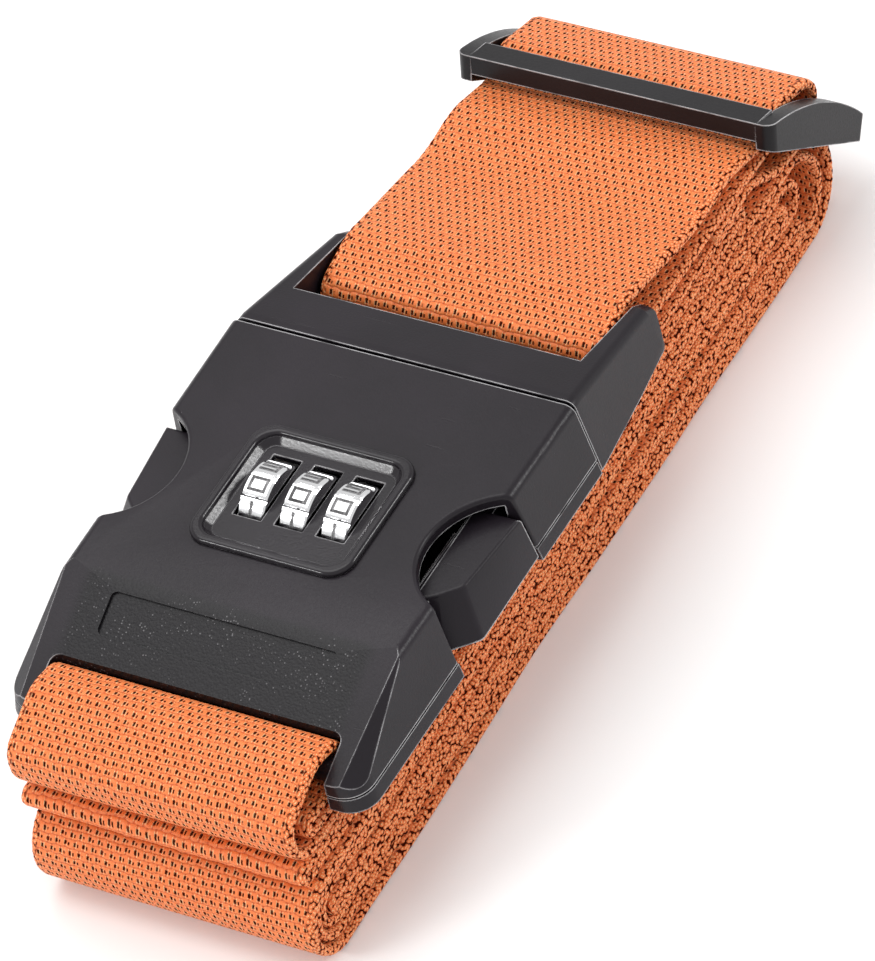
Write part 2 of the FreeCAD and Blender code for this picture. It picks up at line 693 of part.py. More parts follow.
# ---------------------------------------------------------------- tri-glide
def make_triglide():
    """Three-bar slide: side rails with an arched top edge, and front, centre and rear bars."""
    near_low, near_high = Vector(0, 61.7, 29.9), Vector(0, 63.0, 34.2)
    far_low, far_high = Vector(0, 85.4, 9.9), Vector(0, 87.6, 13.2)
    outline = Part.Wire(
        [
            Part.LineSegment(near_low, far_low).toShape(),
            Part.LineSegment(far_low, far_high).toShape(),
            Part.Arc(far_high, Vector(0, 77.2, 26.2), near_high).toShape(),
            Part.LineSegment(near_high, near_low).toShape(),
        ]
    )
    rail = Part.Face(outline).extrude(Vector(TRIGLIDE_OUTER - TRIGLIDE_INNER, 0, 0))
    rail.translate(Vector(TRIGLIDE_INNER, 0, 0))
    span = (-TRIGLIDE_INNER - 0.2, TRIGLIDE_INNER + 0.2)
    front = side_prism([(62.1, 31.1), (63.0, 34.2), (67.8, 32.7), (67.5, 31.3), (65.4, 30.6)], span)
    rear = side_prism([(83.2, 12.0), (85.4, 9.9), (87.6, 13.2), (85.6, 16.0), (83.2, 15.6)], span)
    centre = cylinder_x(CENTRE_BAR_R, span, CENTRE_BAR)
    slide = joined(mirrored(rail) + [front, rear, centre])
    slide = rounded(slide, 1.9, outer_end)
    save("triglide", slide)


def outer_end(edge):
    """True for the corners where the rails meet the outer faces of the end bars."""
    box_ = edge.BoundBox
    at_rail = abs(abs(box_.Center.x) - TRIGLIDE_OUTER) < 1e-3 and box_.XLength < 1e-3
    at_end = box_.YMax < 63.2 or box_.YMin > 85.2
    return at_rail and at_end and hypot(box_.YLength, box_.ZLength) < 6


def main():
    os.makedirs("parts", exist_ok=True)
    make_webbing()
    make_female_shells()
    make_case_screws()
    make_dial_frame()
    make_dials()
    make_dial_shaft()
    make_springs()
    make_lock_slider()
    make_male()
    make_latch_arms()
    make_triglide()


main()
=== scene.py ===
"""Looks of the luggage strap: woven webbing, moulded buckle, chrome number dials and studio.

Lengths in the tables are millimetres in the part's own frame and are turned into metres by MM.
"""
from math import acos, ceil, cos, pi, radians, sin, tan

import bmesh
import bpy
import numpy as np
from mathutils import Matrix, Vector


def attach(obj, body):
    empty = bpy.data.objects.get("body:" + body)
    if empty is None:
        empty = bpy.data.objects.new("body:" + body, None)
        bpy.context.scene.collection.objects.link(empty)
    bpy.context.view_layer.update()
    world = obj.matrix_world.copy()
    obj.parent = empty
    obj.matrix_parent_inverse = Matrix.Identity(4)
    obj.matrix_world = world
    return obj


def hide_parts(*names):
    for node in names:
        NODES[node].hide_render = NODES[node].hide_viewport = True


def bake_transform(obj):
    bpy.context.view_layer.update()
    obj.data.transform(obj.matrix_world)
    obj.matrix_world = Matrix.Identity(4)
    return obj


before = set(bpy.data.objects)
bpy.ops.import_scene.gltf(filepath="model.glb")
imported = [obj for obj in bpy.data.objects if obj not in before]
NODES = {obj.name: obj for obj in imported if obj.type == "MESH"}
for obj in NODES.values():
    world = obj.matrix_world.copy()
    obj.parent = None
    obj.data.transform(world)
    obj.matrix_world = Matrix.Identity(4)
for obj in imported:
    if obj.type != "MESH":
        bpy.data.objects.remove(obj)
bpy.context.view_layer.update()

MM = 0.001


# ---------------------------------------------------------------- shader helpers
class Shader:
    """A new material with a Principled shader, and short calls for its nodes."""

    def __init__(self, name):
        self.mat = bpy.data.materials.new(name)
        self.mat.use_nodes = True
        self.tree = self.mat.node_tree
        self.bsdf = self.tree.nodes["Principled BSDF"]

    def node(self, kind, **settings):
        """A new node with some of its settings."""
        made = self.tree.nodes.new(kind)
        for key, value in settings.items():
            setattr(made, key, value)
        return made

    def put(self, value, socket):
        """A number, colour or other socket into a socket."""
        if isinstance(value, bpy.types.NodeSocket):
            self.tree.links.new(value, socket)
        else:
            socket.default_value = value

    def set(self, **values):
        """Shader inputs by name, with _ for a space."""
        for key, value in values.items():
            self.put(value, self.bsdf.inputs[key.replace("_", " ")])

    def math(self, op, a, b=0.0, c=0.0):
        """The result of a Math node, such as ADD or MULTIPLY."""
        made = self.node("ShaderNodeMath", operation=op)
        for value, socket in zip((a, b, c), made.inputs):
            self.put(value, socket)
        return made.outputs[0]

    def step(self, value, low, high, out_low=0.0, out_high=1.0):
        """Smooth step of a value from low to high."""
        made = self.node("ShaderNodeMapRange", interpolation_type="SMOOTHSTEP")
        for v, socket in zip((value, low, high, out_low, out_high), made.inputs):
            self.put(v, socket)
        return made.outputs[0]

    def attribute(self, name):
        """A number stored on the mesh's points."""
        return self.node("ShaderNodeAttribute", attribute_name=name).outputs["Fac"]

    def combine(self, x, y, z=0.0):
        made = self.node("ShaderNodeCombineXYZ")
        for v, socket in zip((x, y, z), made.inputs):
            self.put(v, socket)
        return made.outputs[0]

    def place(self):
        """Where the shaded point is in its piece, in metres."""
        return self.node("ShaderNodeTexCoord").outputs["Object"]

    def noise(self, where, scale, detail=3.0, roughness=0.5):
        made = self.node("ShaderNodeTexNoise")
        self.put(where, made.inputs["Vector"])
        made.inputs["Scale"].default_value = scale
        made.inputs["Detail"].default_value = detail
        made.inputs["Roughness"].default_value = roughness
        return made.outputs["Fac"]

    def mix(self, share, a, b):
        """The colour that is a at share 0 and b at share 1."""
        made = self.node("ShaderNodeMix", data_type="RGBA")
        self.put(share, made.inputs["Factor"])
        for value, socket in ((a, made.inputs["A"]), (b, made.inputs["B"])):
            self.put(value, [s for s in made.inputs if s.name == socket.name and s.type == "RGBA"][0])
        return [s for s in made.outputs if s.type == "RGBA"][0]

    def bump(self, height, strength, distance):
        """A normal from a height; distance is how tall a height of 1 stands, in metres."""
        made = self.node("ShaderNodeBump")
        made.inputs["Strength"].default_value = strength
        made.inputs["Distance"].default_value = distance
        self.put(height, made.inputs["Height"])
        return made.outputs[0]


def paint(obj, material):
    """One material in place of all that the object has."""
    obj.data.materials.clear()
    obj.data.materials.append(material)


def add_object(name, data):
    """A new object in the scene."""
    obj = bpy.data.objects.new(name, data)
    bpy.context.scene.collection.objects.link(obj)
    return obj


def mesh_from(bm, name):
    """A mesh from a finished bmesh, which is freed."""
    mesh = bpy.data.meshes.new(name)
    bm.to_mesh(mesh)
    bm.free()
    return mesh


# ---------------------------------------------------------------- materials
# pitch of the weave's floats, in millimetres
FLOAT_ACROSS = 1.62
FLOAT_ALONG = 1.28
# how far in from a moulded edge the painted highlight reaches, and how far a groove's sides reach to take
# painted shade, in metres
EDGE_HIGHLIGHT_REACH = 0.00034
GROOVE_SHADE_REACH = 0.0009
# the pebbled part of the mould ends here across the buckle, in metres
PEBBLED_HALF = (0.0262, 0.0235)
PEBBLED_FADE = 0.0015
# colours of the painted shade in grooves and of the painted highlight on edges
GROOVE_SHADE_BLACK = (0.001, 0.001, 0.001, 1)
EDGE_HIGHLIGHT_GREY = (0.50, 0.49, 0.50, 1)


def webbing_material(name):
    """Orange webbing: short floats in rows half a float apart, painted shade in the gaps between them and on
    their low parts, painted glints, and mottled selvages of knuckles with painted shade between them and
    painted glints.

    On the mesh's points strap_u is the place across the strap, strap_v the place along it and strap_e the
    place round the selvage, all in millimetres.
    """
    s = Shader(name)
    u, v, e = s.attribute("strap_u"), s.attribute("strap_v"), s.attribute("strap_e")
    wander = s.math("MULTIPLY_ADD", s.noise(s.combine(u, v), 0.35, 2.0), 0.6, -0.3)
    uu = s.math("ADD", u, wander)
    vv = s.math("ADD", v, s.math("MULTIPLY", wander, 1.2))
    row = s.math("FLOOR", s.math("DIVIDE", vv, FLOAT_ALONG))
    odd = s.math("FRACT", s.math("MULTIPLY", row, 0.5))
    a = s.math("FRACT", s.math("ADD", s.math("DIVIDE", uu, FLOAT_ACROSS), odd))
    b = s.math("FRACT", s.math("DIVIDE", vv, FLOAT_ALONG))
    da = s.math("ABSOLUTE", s.math("SUBTRACT", a, 0.5))
    db = s.math("ABSOLUTE", s.math("SUBTRACT", b, 0.5))
    # between two floats of a row: a dot of painted shade, and a smaller one across from it
    uneven = s.noise(s.combine(u, v), 0.8, 2.0)
    dot = s.math("MULTIPLY", s.step(da, 0.33, 0.4), s.step(db, 0.27, 0.16))
    mate = s.math("MULTIPLY", s.step(a, 0.25, 0.31), s.step(a, 0.46, 0.4))
    mate = s.math("MULTIPLY", mate, s.math("MULTIPLY", s.step(b, 0.36, 0.46), s.step(b, 0.8, 0.68)))
    mate = s.math("MULTIPLY", mate, s.step(uneven, 0.3, 0.5, 0.3, 1.0))
    gap_shade = s.math("MULTIPLY", s.math("MAXIMUM", dot, mate), s.step(uneven, 0.2, 0.45, 0.6, 1.0))
    glint = s.math("MULTIPLY", s.step(da, 0.28, 0.34), s.step(da, 0.42, 0.37))
    glint = s.math("MULTIPLY", glint, s.step(db, 0.44, 0.3))
    glint = s.math("MULTIPLY", glint, s.step(s.noise(s.combine(u, v), 1.7, 1.0), 0.4, 0.55))
    round_a = s.math("SUBTRACT", 1.0, s.math("POWER", s.math("MULTIPLY", da, 2.0), 3.0))
    round_b = s.math("SUBTRACT", 1.0, s.math("POWER", s.math("MULTIPLY", db, 2.0), 3.0))
    float_height = s.math("MULTIPLY_ADD", round_a, 0.5, s.math("MULTIPLY", round_b, 0.5))
    # fibres run along the strap
    fibre = s.noise(s.combine(s.math("MULTIPLY", u, 9.0), s.math("MULTIPLY", v, 1.1)), 1.0, 2.0)
    # on the selvage the threads turn round the edge and show as small knuckles, with painted shade between them
    # and painted glints on them
    edge = s.step(s.math("ABSOLUTE", u), 23.5, 24.2)
    cells = s.node("ShaderNodeTexVoronoi", voronoi_dimensions="2D")
    s.put(s.combine(e, v), cells.inputs["Vector"])
    cells.inputs["Scale"].default_value = 1.5
    knuckles = s.math("SUBTRACT", 1.0, cells.outputs["Distance"])
    edge_gap_shade = s.math("MULTIPLY", s.step(knuckles, 0.46, 0.36), s.step(uneven, 0.25, 0.45, 0.6, 1.0))
    edge_glint = s.step(knuckles, 0.76, 0.9)
    flat_share = s.math("SUBTRACT", 1.0, edge)
    gap_shade = s.math("ADD", s.math("MULTIPLY", gap_shade, flat_share), s.math("MULTIPLY", edge_gap_shade, edge))
    glint = s.math("ADD", s.math("MULTIPLY", glint, flat_share), s.math("MULTIPLY", edge_glint, edge))
    height = s.math("ADD", s.math("MULTIPLY", float_height, flat_share), s.math("MULTIPLY", knuckles, edge))
    height = s.math("SUBTRACT", height, s.math("MULTIPLY", gap_shade, 0.7))
    height = s.math("MULTIPLY_ADD", fibre, 0.3, height)
    tone = s.noise(s.combine(s.math("MULTIPLY", u, 0.4), v), 0.16, 3.0)
    colour = s.mix(tone, (0.80, 0.160, 0.030, 1), (0.88, 0.205, 0.045, 1))
    light = s.mix(0.6, colour, (1.0, 0.42, 0.17, 1))
    colour = s.mix(s.step(fibre, 0.45, 0.8), colour, light)
    shade = s.math("MULTIPLY", s.step(height, 0.15, 0.95, 0.9, 0.0), s.math("MULTIPLY_ADD", edge, -0.5, 1.0))
    colour = s.mix(shade, colour, (0.50, 0.060, 0.010, 1))
    # painted shade in the gaps of the weave and between the selvage knuckles
    colour = s.mix(gap_shade, colour, (0.05, 0.006, 0.002, 1))
    lit = s.math("SUBTRACT", 1.0, gap_shade)
    colour = s.mix(s.math("MULTIPLY", glint, 0.75), colour, (1.0, 0.68, 0.34, 1))
    s.set(
        Base_Color=colour, Roughness=0.5, Sheen_Weight=s.math("MULTIPLY", lit, 0.2), Sheen_Roughness=0.45,
        Sheen_Tint=(1.0, 0.6, 0.35, 1), Specular_IOR_Level=s.math("MULTIPLY", lit, 0.4),
        Normal=s.bump(height, 1.0, 0.0003),
    )
    return s.mat


def plastic_material(name, colour, rough, grain=0.35, shine=0.26, pebbled_before=None):
    """Moulded plastic: spark-eroded grain, flow tone, hairline rubs, a painted highlight along the edges and
    painted shade in grooves.

    Nearer the strap end than pebbled_before (a place along Y in metres) the mould is coarsely pebbled.
    """
    s = Shader(name)
    where = s.place()
    fine = s.noise(where, 2600.0, 3.0, 0.6)
    broad = s.noise(where, 45.0, 3.0)
    dark, pale = (tuple(c * k for c in colour) + (1,) for k in (0.8, 1.25))
    tone = s.mix(s.step(broad, 0.3, 0.7), dark, pale)
    stretch = s.node("ShaderNodeMapping")
    s.put(where, stretch.inputs["Vector"])
    stretch.inputs["Scale"].default_value = (60.0, 900.0, 300.0)
    stretch.inputs["Rotation"].default_value = (0.2, 0.1, 0.5)
    scratch = s.step(s.noise(stretch.outputs[0], 1.0, 2.0), 0.735, 0.76)
    # the Bevel node's normal leaves the true one only near an edge
    near = s.node("ShaderNodeBevel", samples=6)
    near.inputs["Radius"].default_value = EDGE_HIGHLIGHT_REACH
    compare = s.node("ShaderNodeVectorMath", operation="DOT_PRODUCT")
    s.put(near.outputs[0], compare.inputs[0])
    s.put(s.node("ShaderNodeNewGeometry").outputs["Normal"], compare.inputs[1])
    open_air = s.node("ShaderNodeAmbientOcclusion", samples=6)
    open_air.inputs["Distance"].default_value = GROOVE_SHADE_REACH
    clear = open_air.outputs["AO"]
    # painted highlight: convex edges are painted bright grey, kept out of grooves
    edge_highlight = s.math("MULTIPLY", s.step(compare.outputs["Value"], 0.992, 0.93), s.step(clear, 0.55, 0.75))
    edge_highlight = s.math("MULTIPLY", edge_highlight, s.step(s.noise(where, 240.0, 3.0), 0.3, 0.55, 0.3, 1.0))
    tone = s.mix(edge_highlight, tone, EDGE_HIGHLIGHT_GREY)
    # painted shade: grooves and seams are darkened towards near black where the occlusion node finds them
    # closed in
    tone = s.mix(s.step(clear, 0.6, 0.35), tone, GROOVE_SHADE_BLACK)
    roughness = s.step(fine, 0.2, 0.8, rough - 0.06, rough + 0.07)
    roughness = s.math("ADD", roughness, s.math("MULTIPLY", scratch, -0.1))
    roughness = s.math("MULTIPLY_ADD", edge_highlight, -0.12, roughness)
    height = s.math("SUBTRACT", fine, s.math("MULTIPLY", scratch, 0.5))
    if pebbled_before is not None:
        cells = s.node("ShaderNodeTexVoronoi")
        s.put(where, cells.inputs["Vector"])
        cells.inputs["Scale"].default_value = 2300.0
        apart = s.node("ShaderNodeSeparateXYZ")
        s.put(where, apart.inputs[0])
        zone = s.step(apart.outputs["Y"], pebbled_before, pebbled_before - PEBBLED_FADE)
        zone = s.math("MULTIPLY", zone, s.step(s.math("ABSOLUTE", apart.outputs["X"]), *PEBBLED_HALF))
        pebble = s.math("MULTIPLY", s.math("SUBTRACT", 1.0, cells.outputs["Distance"]), zone)
        height = s.math("MULTIPLY_ADD", pebble, 1.2, height)
        lot = s.node("ShaderNodeSeparateXYZ")
        s.put(cells.outputs["Color"], lot.inputs[0])
        # a few pebbles catch the light, in drifts
        chosen = s.step(lot.outputs["X"], 0.72, 0.78)
        drift = s.step(s.noise(where, 110.0, 2.0), 0.42, 0.6)
        spark = s.math("MULTIPLY", s.step(cells.outputs["Distance"], 0.34, 0.2), chosen)
        spark = s.math("MULTIPLY", spark, s.math("MULTIPLY", zone, drift))
        tone = s.mix(spark, s.mix(zone, tone, (0.0065, 0.0055, 0.007, 1)), (0.13, 0.125, 0.13, 1))
    s.set(Base_Color=tone, Roughness=roughness, Specular_IOR_Level=shine)
    s.set(Normal=s.bump(height, grain, 0.00005))
    return s.mat


def metal_material(name, colour, rough, brushed=0.0):
    """Bright metal with fine turning lines and handling smudges."""
    s = Shader(name)
    where = s.place()
    lines = s.node("ShaderNodeMapping")
    s.put(where, lines.inputs["Vector"])
    lines.inputs["Scale"].default_value = (9000.0, 350.0, 350.0)
    turned = s.noise(lines.outputs[0], 1.0, 2.0)
    smudge = s.noise(where, 420.0, 3.0)
    smudged = s.step(smudge, 0.35, 0.75, rough, rough + 0.1)
    roughness = s.math("ADD", smudged, s.math("MULTIPLY", turned, brushed))
    tint = s.mix(smudge, tuple(c * 0.93 for c in colour) + (1,), colour + (1,))
    s.set(Base_Color=tint, Metallic=1.0, Roughness=roughness, Normal=s.bump(turned, 0.12 + brushed, 0.00002))
    return s.mat


# ---------------------------------------------------------------- webbing
HALF_THICK = 0.875
LAYER_PITCH = 2.08


def level(k):
    """Height of the middle of folded layer k, counted from the one on the ground."""
    return HALF_THICK + LAYER_PITCH * k


def fold(y, k_from, k_to):
    """The two corners of a U-turn from one layer to another, with its outermost point at y."""
    radius = LAYER_PITCH * abs(k_from - k_to) / 2 * 0.999
    return [(y, level(k_from), radius), (y, level(k_to), radius)]


PACK_ROUTE = [
    (-31.6, level(11), 0),
    (-80.1, level(11), 1.2),
    (-80.1, 26.2, 1.2),
    (-68.3, 26.2, 3.0),
    (-68.3, 32.1, 2.9),
    (-74.8, 33.6, 7.0),
    (-84.3, 29.2, 3.5),
    (-84.3, level(10), 4.2),
    *fold(56.5, 10, 9),
    *fold(-84.2, 9, 8),
    *fold(77.0, 8, 1),
    *fold(-84.65, 1, 6),
    *fold(65.4, 6, 5),
    *fold(-82.57, 5, 2),
    *fold(68.5, 2, 3),
    *fold(-80.5, 3, 4),
    *fold(70.4, 4, 7),
    *fold(-86.725, 7, 0),
    (48.4, level(0), 0),
]
LOOP_ROUTE = [
    (48.4, level(0), 0),
    (81.0, level(0), 9.5),
    (81.0, 26.6, 4.0),
    (70.0, 30.1, 4.0),
    (64.4, 27.6, 5.0),
    (54.4, 30.6, 15.0),
    (44.4, 29.9, 25.0),
    (22.4, 34.3, 9.0),
    (12.3, 32.4, 3.0),
    (12.3, 26.4, 3.05),
    (76.53, 25.43, 2.8),
    (76.53, 19.77, 2.8),
    (66.9, 19.77, 5.0),
    (59.9, 23.75, 5.0),
    (47.4, 23.75, 0),
]


def centre_line(route, run_step=1.6, arc_step=0.55):
    """Points, sideways normals and lengths along a route of (y, z, corner radius) points."""
    points, normals = [], []
    start = Vector(route[0][:2])

    def run(a, b):
        n = max(1, ceil((b - a).length / run_step))
        way = (b - a).normalized()
        for i in range(n):
            points.append(a.lerp(b, i / n))
            normals.append(Vector((-way.y, way.x)))

    for before, here, after in zip(route, route[1:], route[2:]):
        corner = Vector(here[:2])
        inward = (corner - Vector(before[:2])).normalized()
        outward = (Vector(after[:2]) - corner).normalized()
        turn = acos(max(-1.0, min(1.0, inward.dot(outward))))
        side = 1 if inward.x * outward.y - inward.y * outward.x > 0 else -1
        cut = here[2] * tan(turn / 2)
        arc_start = corner - inward * cut
        run(start, arc_start)
        centre = arc_start + Vector((-inward.y, inward.x)) * side * here[2]
        n = max(4, ceil(here[2] * turn / arc_step))
        for i in range(n):
            spin = Matrix.Rotation(side * turn * i / n, 2)
            points.append(centre + spin @ (arc_start - centre))
            way = spin @ inward
            normals.append(Vector((-way.y, way.x)))
        start = corner + outward * cut
    end = Vector(route[-1][:2])
    run(start, end)
    points.append(end)
    normals.append(normals[-1].copy())
    steps = [0.0] + [(q - p).length for p, q in zip(points, points[1:])]
    return np.array(points), np.array(normals), np.cumsum(steps)


# one webbing section, anticlockwise: (place across, place through the thickness)
# how far out the middle of the selvage's rounded edge is, in millimetres
EDGE_MIDDLE = 24.95
SECTION = [
    (-24.95, -0.3), (-24.7, -0.66), (-24.1, -0.84), (-20.0, -0.875), (-12.0, -0.87), (-4.0, -0.875),
    (4.0, -0.875), (12.0, -0.87), (20.0, -0.875), (24.1, -0.84), (24.7, -0.66), (24.95, -0.3),
    (24.95, 0.3), (24.7, 0.66), (24.1, 0.84), (20.0, 0.875), (12.0, 0.87), (4.0, 0.875),
    (-4.0, 0.875), (-12.0, 0.87), (-20.0, 0.875), (-24.1, 0.84), (-24.7, 0.66), (-24.95, 0.3),
]


def sway(v, z):
    """Sideways drift of the folded layers, in millimetres; none where hardware holds the strap."""
    drift = 0.42 * np.sin(v / 61.0 + 0.6) + 0.3 * np.sin(v / 23.7 + 2.0) + 0.16 * np.sin(v / 9.1)
    held = np.clip((24.0 - z) / 3.0, 0, 1)
    return drift * held


def webbing(name, route, v_start, material, body=None):
    """A closed band of webbing along a route; v_start is how far along the strap it begins, in millimetres."""
    points, normals, lengths = centre_line(route)
    n, m = len(points), len(SECTION)
    v = v_start + lengths
    drift = sway(v, points[:, 1])
    ripple = 0.05 * np.sin(v * 2 * pi / 1.5)
    flat = np.array(SECTION)
    # how far round the selvage a point is from its middle, upwards or downwards
    round_edge = np.sign(flat[:, 1]) * (np.abs(flat[:, 1]) + EDGE_MIDDLE - np.abs(flat[:, 0]))
    edge = np.clip((np.abs(flat[:, 0]) - 24.0) / 0.7, 0, 1) * np.sign(flat[:, 0])
    co = np.zeros((n, m, 3))
    co[:, :, 0] = flat[None, :, 0] + drift[:, None] + edge[None, :] * (ripple[:, None] - 0.05)
    co[:, :, 1] = points[:, 0, None] + normals[:, 0, None] * flat[None, :, 1]
    co[:, :, 2] = points[:, 1, None] + normals[:, 1, None] * flat[None, :, 1]
    faces = []
    for i in range(n - 1):
        for j in range(m):
            k = (j + 1) % m
            faces.append((i * m + j, i * m + k, (i + 1) * m + k, (i + 1) * m + j))
    faces.append(tuple(reversed(range(m))))
    faces.append(tuple((n - 1) * m + j for j in range(m)))
    mesh = bpy.data.meshes.new(name)
    mesh.from_pydata((co.reshape(-1, 3) * MM).tolist(), [], faces)
    for key, values in (
        ("strap_u", np.broadcast_to(flat[None, :, 0], (n, m))),
        ("strap_v", np.broadcast_to(v[:, None], (n, m))),
        ("strap_e", np.broadcast_to(round_edge[None, :], (n, m))),
    ):
        stored = mesh.attributes.new(key, "FLOAT", "POINT")
        stored.data.foreach_set("value", values.ravel().astype(np.float32))
    bm = bmesh.new()
    bm.from_mesh(mesh)
    bmesh.ops.recalc_face_normals(bm, faces=bm.faces)
    for f in bm.faces:
        f.smooth = len(f.verts) == 4
    bm.to_mesh(mesh)
    bm.free()
    obj = add_object(name, mesh)
    paint(obj, material)
    if body:
        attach(obj, body)
    return obj, lengths[-1]


def split_route(route):
    """The route before and after a place in its last straight run, just past the last fold's arc."""
    cut = (*Vector(route[-2][:2]).lerp(Vector(route[-1][:2]), SPLIT_SHARE), 0)
    return route[:-1] + [cut], [cut] + route[-1:]


def thread_material(name):
    """Twisted polyester sewing thread."""
    s = Shader(name)
    where = s.place()
    twist = s.noise(where, 2400.0, 2.0)
    tone = s.mix(s.noise(where, 300.0), (0.62, 0.09, 0.015, 1), (0.85, 0.20, 0.05, 1))
    s.set(Base_Color=s.mix(s.step(twist, 0.5, 0.7), tone, (0.30, 0.03, 0.006, 1)), Roughness=0.45)
    s.set(Normal=s.bump(twist, 0.8, 0.0001))
    return s.mat


def sewn_box(name, near, far, material, body):
    """Box-and-cross stitching where an end is sewn down; near and far are (y, z) on the strap's face."""
    bm = bmesh.new()
    near, far = (Vector((0, y, z)) for y, z in (near, far))
    half = Vector((20.0, 0, 0))
    a, b, c, d = near - half, near + half, far + half, far - half
    for start, end in ((a, b), (b, c), (c, d), (d, a), (a, c), (b, d)):
        count = ceil((end - start).length / STITCH_PITCH)
        turn = (end - start).to_track_quat("X", "Z").to_matrix().to_4x4()
        for i in range(count):
            middle = start.lerp(end, (i + 0.5) / count)
            size = Matrix.Diagonal((0.42 * STITCH_PITCH * MM, 0.24 * MM, 0.17 * MM, 1.0))
            stitch = Matrix.Translation(middle * MM) @ turn @ size
            bmesh.ops.create_uvsphere(bm, u_segments=8, v_segments=6, radius=1.0, matrix=stitch)
    for f in bm.faces:
        f.smooth = True
    obj = add_object(name, mesh_from(bm, name))
    paint(obj, material)
    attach(obj, body)


SPLIT_SHARE = 0.06
STITCH_PITCH = 2.8
strap_cloth = webbing_material("orange_webbing")
folded, bottom = split_route(PACK_ROUTE)
pack, pack_length = webbing("strap_folded_pack", folded, 0.0, strap_cloth, "housing")
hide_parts("webbing_pack")
run, run_length = webbing("strap_bottom_run", bottom, pack_length, strap_cloth)
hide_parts("webbing_pack")
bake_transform(run)
loop, loop_length = webbing("strap_adjuster_loop", LOOP_ROUTE, pack_length + run_length, strap_cloth, "male")
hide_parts("webbing_adjust_loop")


# ---------------------------------------------------------------- moulded and metal pieces
TAPER_Y = -0.0541
shell_plastic = plastic_material("buckle_plastic", (0.0122, 0.0092, 0.0128), 0.34, 0.4, pebbled_before=TAPER_Y)
bezel_plastic = plastic_material("bezel_plastic", (0.0112, 0.0088, 0.0118), 0.2, 0.25, shine=0.34)
glide_plastic = plastic_material("triglide_plastic", (0.0085, 0.0072, 0.0085), 0.34, 0.4, shine=0.2)
chrome = metal_material("dial_chrome", (0.86, 0.86, 0.87), 0.1)
steel = metal_material("steel", (0.56, 0.56, 0.57), 0.26, 0.2)
acetal = plastic_material("inner_plastic", (0.62, 0.61, 0.57), 0.4)


SHARP_ANGLE = 32.0


def soften(node, width, material):
    """Small moulded radius on the sharp edges of a CAD piece, smooth shading, and its material."""
    obj = NODES[node]
    paint(obj, material)
    weld = obj.modifiers.new("weld", "WELD")
    weld.merge_threshold = 2e-6
    flat = obj.modifiers.new("flat", "DECIMATE")
    flat.decimate_type = "DISSOLVE"
    flat.angle_limit = radians(0.4)
    if width:
        edge = obj.modifiers.new("edge", "BEVEL")
        edge.width = width * MM
        edge.segments = 2
        edge.limit_method = "ANGLE"
        edge.angle_limit = radians(SHARP_ANGLE)
        edge.use_clamp_overlap = True
    shade = obj.modifiers.new("shade", "WEIGHTED_NORMAL")
    shade.mode = "FACE_AREA_WITH_ANGLE"
    shade.weight = 60
    shade.keep_sharp = False


soften("female_top_shell", 0.22, shell_plastic)
soften("female_bottom_cover", 0.2, shell_plastic)
soften("male_body", 0.25, shell_plastic)
soften("latch_arm_left", 0.25, shell_plastic)
soften("latch_arm_right", 0.25, shell_plastic)
soften("dial_frame", 0.12, bezel_plastic)
soften("triglide", 0.35, glide_plastic)
for side in ("left", "middle", "right"):
    soften("dial_" + side, 0.08, chrome)
    soften("clutch_sleeve_" + side, 0.05, acetal)
for node in (
    "case_screws", "dial_shaft", "shaft_clips", "clutch_spring", "lock_springs", "detent_spring", "lock_slider",
    "slider_retainer",
):
    soften(node, 0.0 if "spring" in node else 0.05, steel)


# the end that goes round the tri-glide's centre bar is sewn up through the run above it
SEWN_SHARES = (0.58, 0.71)
run_start, run_end = Vector(LOOP_ROUTE[9][:2]), Vector(LOOP_ROUTE[10][:2])
lift = Vector((0, HALF_THICK))
sewn_near, sewn_far = (tuple(run_start.lerp(run_end, share) + lift) for share in SEWN_SHARES)
sewn_box("strap_stitching", sewn_near, sewn_far, thread_material("stitch_thread"), "male")


# ---------------------------------------------------------------- numbers on the dials
# millimetres, and degrees for the two angles
DIAL_AXIS = Vector((0, -31.6, 34.2))
DIAL_RADIUS = 6.6
DIAL_PITCH = 7.3
STEP_ANGLE = 36.0
READING_ANGLE = 76.0
NUMERAL_HALF = (1.3, 1.02)
STROKE_HALF = 0.27
# numerals as paths of (across, up) points in a square from -1 to 1
STROKES = {
    0: [[(-1, -1), (-1, 1), (1, 1), (1, -1), (-1, -1)]],
    1: [[(0, 1.1), (0, -1.1)]],
    2: [[(-1, 1), (1, 1), (1, 0), (-1, 0), (-1, -1), (1, -1)]],
    3: [[(-1, 1), (1, 1), (1, -1), (-1, -1)], [(-0.5, 0), (1, 0)]],
    4: [[(-1, 1), (-1, 0), (1, 0)], [(1, 1), (1, -1)]],
    5: [[(1, 1), (-1, 1), (-1, 0), (1, 0), (1, -1), (-1, -1)]],
    6: [[(1, 1), (-1, 1), (-1, -1), (1, -1), (1, 0), (-1, 0)]],
    7: [[(-1, 1), (1, 1), (0, -1)]],
    8: [[(-1, -1), (-1, 1), (1, 1), (1, -1), (-1, -1)], [(-1, 0), (1, 0)]],
    9: [[(1, 0), (-1, 0), (-1, 1), (1, 1), (1, -1), (-1, -1)]],
}


def on_dial(x, across, round_place, height, turn):
    """A point on a wheel: across along X, round_place along the rim in mm, height above the rim."""
    angle = turn - round_place / DIAL_RADIUS
    radius = DIAL_RADIUS + height
    return Vector((x + across, DIAL_AXIS.y - radius * cos(angle), DIAL_AXIS.z + radius * sin(angle)))


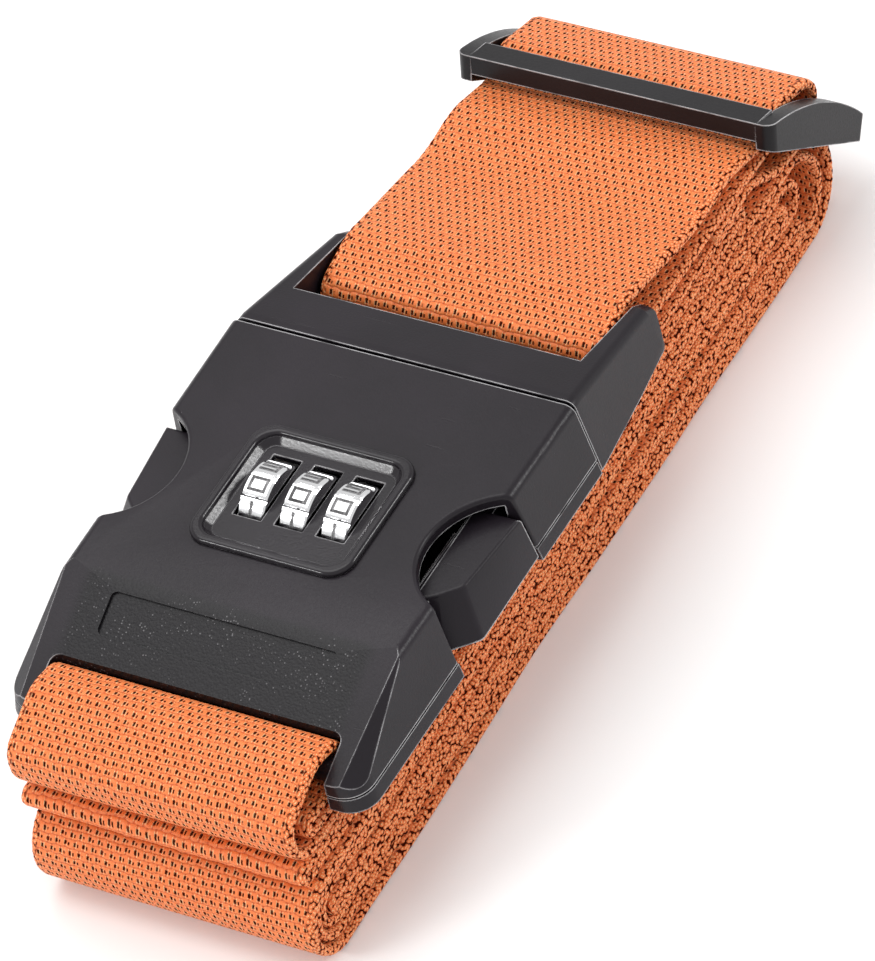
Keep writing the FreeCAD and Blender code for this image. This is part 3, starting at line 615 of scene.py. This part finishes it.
def stroke_faces(bm, x, turn, path, half, low=-0.02, high=0.045):
    """A thin raised line along a path of (across, round) points on the wheel's rim."""
    for p, q in zip(path, path[1:]):
        p, q = Vector(p), Vector(q)
        way = (q - p).normalized()
        p, q = p - way * half, q + way * half
        side = Vector((-way.y, way.x)) * half
        count = max(1, ceil((q - p).length / 0.35))
        for i in range(count):
            a, b = p.lerp(q, i / count), p.lerp(q, (i + 1) / count)
            corners = [a - side, b - side, b + side, a + side]
            top = [bm.verts.new(on_dial(x, c.x, -c.y, high, turn) * MM) for c in corners]
            base = [bm.verts.new(on_dial(x, c.x, -c.y, low, turn) * MM) for c in corners]
            bm.faces.new(top)
            for j in range(4):
                k = (j + 1) % 4
                bm.faces.new((top[k], top[j], base[j], base[k]))


def dial_numbers(side, x, shown, ink):
    """Black numerals round one wheel, with the shown number at the reading angle."""
    bm = bmesh.new()
    for digit, paths in STROKES.items():
        turn = radians(READING_ANGLE - STEP_ANGLE * (digit - shown))
        for path in paths:
            points = [(NUMERAL_HALF[0] * px, NUMERAL_HALF[1] * py) for px, py in path]
            stroke_faces(bm, x, turn, points, STROKE_HALF)
    bmesh.ops.recalc_face_normals(bm, faces=bm.faces)
    name = "dial_numbers_" + side
    obj = add_object(name, mesh_from(bm, name))
    paint(obj, ink)
    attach(obj, "dial_" + side)


number_ink = plastic_material("number_enamel", (0.006, 0.006, 0.006), 0.35)
for side, x in (("left", -DIAL_PITCH), ("middle", 0.0), ("right", DIAL_PITCH)):
    dial_numbers(side, x, 0, number_ink)


# ---------------------------------------------------------------- studio
def area_light(name, place, aim, size, power):
    """A white rectangular lamp that points at a place."""
    light = bpy.data.lights.new(name, "AREA")
    light.shape = "RECTANGLE"
    light.size, light.size_y = size
    light.energy = power
    obj = add_object(name, light)
    obj.location = place
    obj.rotation_euler = (Vector(aim) - Vector(place)).to_track_quat("-Z", "Y").to_euler()


def studio():
    """White surroundings, a pale floor, a large soft lamp above and two strips that edge the plastic."""
    scene = bpy.context.scene
    scene.view_settings.view_transform = "Standard"
    scene.view_settings.look = "None"
    world = bpy.data.worlds.new("studio")
    scene.world = world
    world.use_nodes = True
    background = world.node_tree.nodes["Background"]
    background.inputs["Color"].default_value = (1.0, 1.0, 1.0, 1)
    background.inputs["Strength"].default_value = 0.8
    bm = bmesh.new()
    bmesh.ops.create_grid(bm, x_segments=40, y_segments=40, size=3.0)
    floor = add_object("floor", mesh_from(bm, "floor"))
    floor.location.z = -0.0001
    s = Shader("floor_white")
    s.set(Base_Color=(0.93, 0.93, 0.93, 1), Roughness=0.8, Specular_IOR_Level=0.1)
    paint(floor, s.mat)
    area_light("key", (-0.22, 0.05, 0.8), (0, 0, 0), (0.7, 0.7), 3.8)
    area_light("front_strip", (-0.56, -0.84, 0.58), (0, -0.02, 0.03), (0.3, 0.09), 3.6)
    area_light("side_strip", (0.84, 0.64, 0.56), (0, -0.02, 0.03), (0.09, 0.3), 3.2)


def camera():
    """A long lens from above one corner, rolled to one side."""
    azimuth, elevation, roll, distance = radians(41.422), radians(44.676), radians(-17.0), 1.295391
    target = Vector((0.012249, -0.016574, 0.030801))
    back = Vector((sin(azimuth) * cos(elevation), -cos(azimuth) * cos(elevation), sin(elevation)))
    right = Vector((cos(azimuth), sin(azimuth), 0))
    up = back.cross(right)
    right_rolled = right * cos(roll) + up * sin(roll)
    up_rolled = up * cos(roll) - right * sin(roll)
    data = bpy.data.cameras.new("camera")
    data.sensor_width = 36.0
    data.lens = 324.07
    data.clip_start, data.clip_end = 0.05, 20.0
    obj = add_object("camera", data)
    turn = Matrix((right_rolled, up_rolled, back)).transposed().to_4x4()
    obj.matrix_world = Matrix.Translation(target + back * distance) @ turn
    bpy.context.scene.camera = obj


studio()
camera()
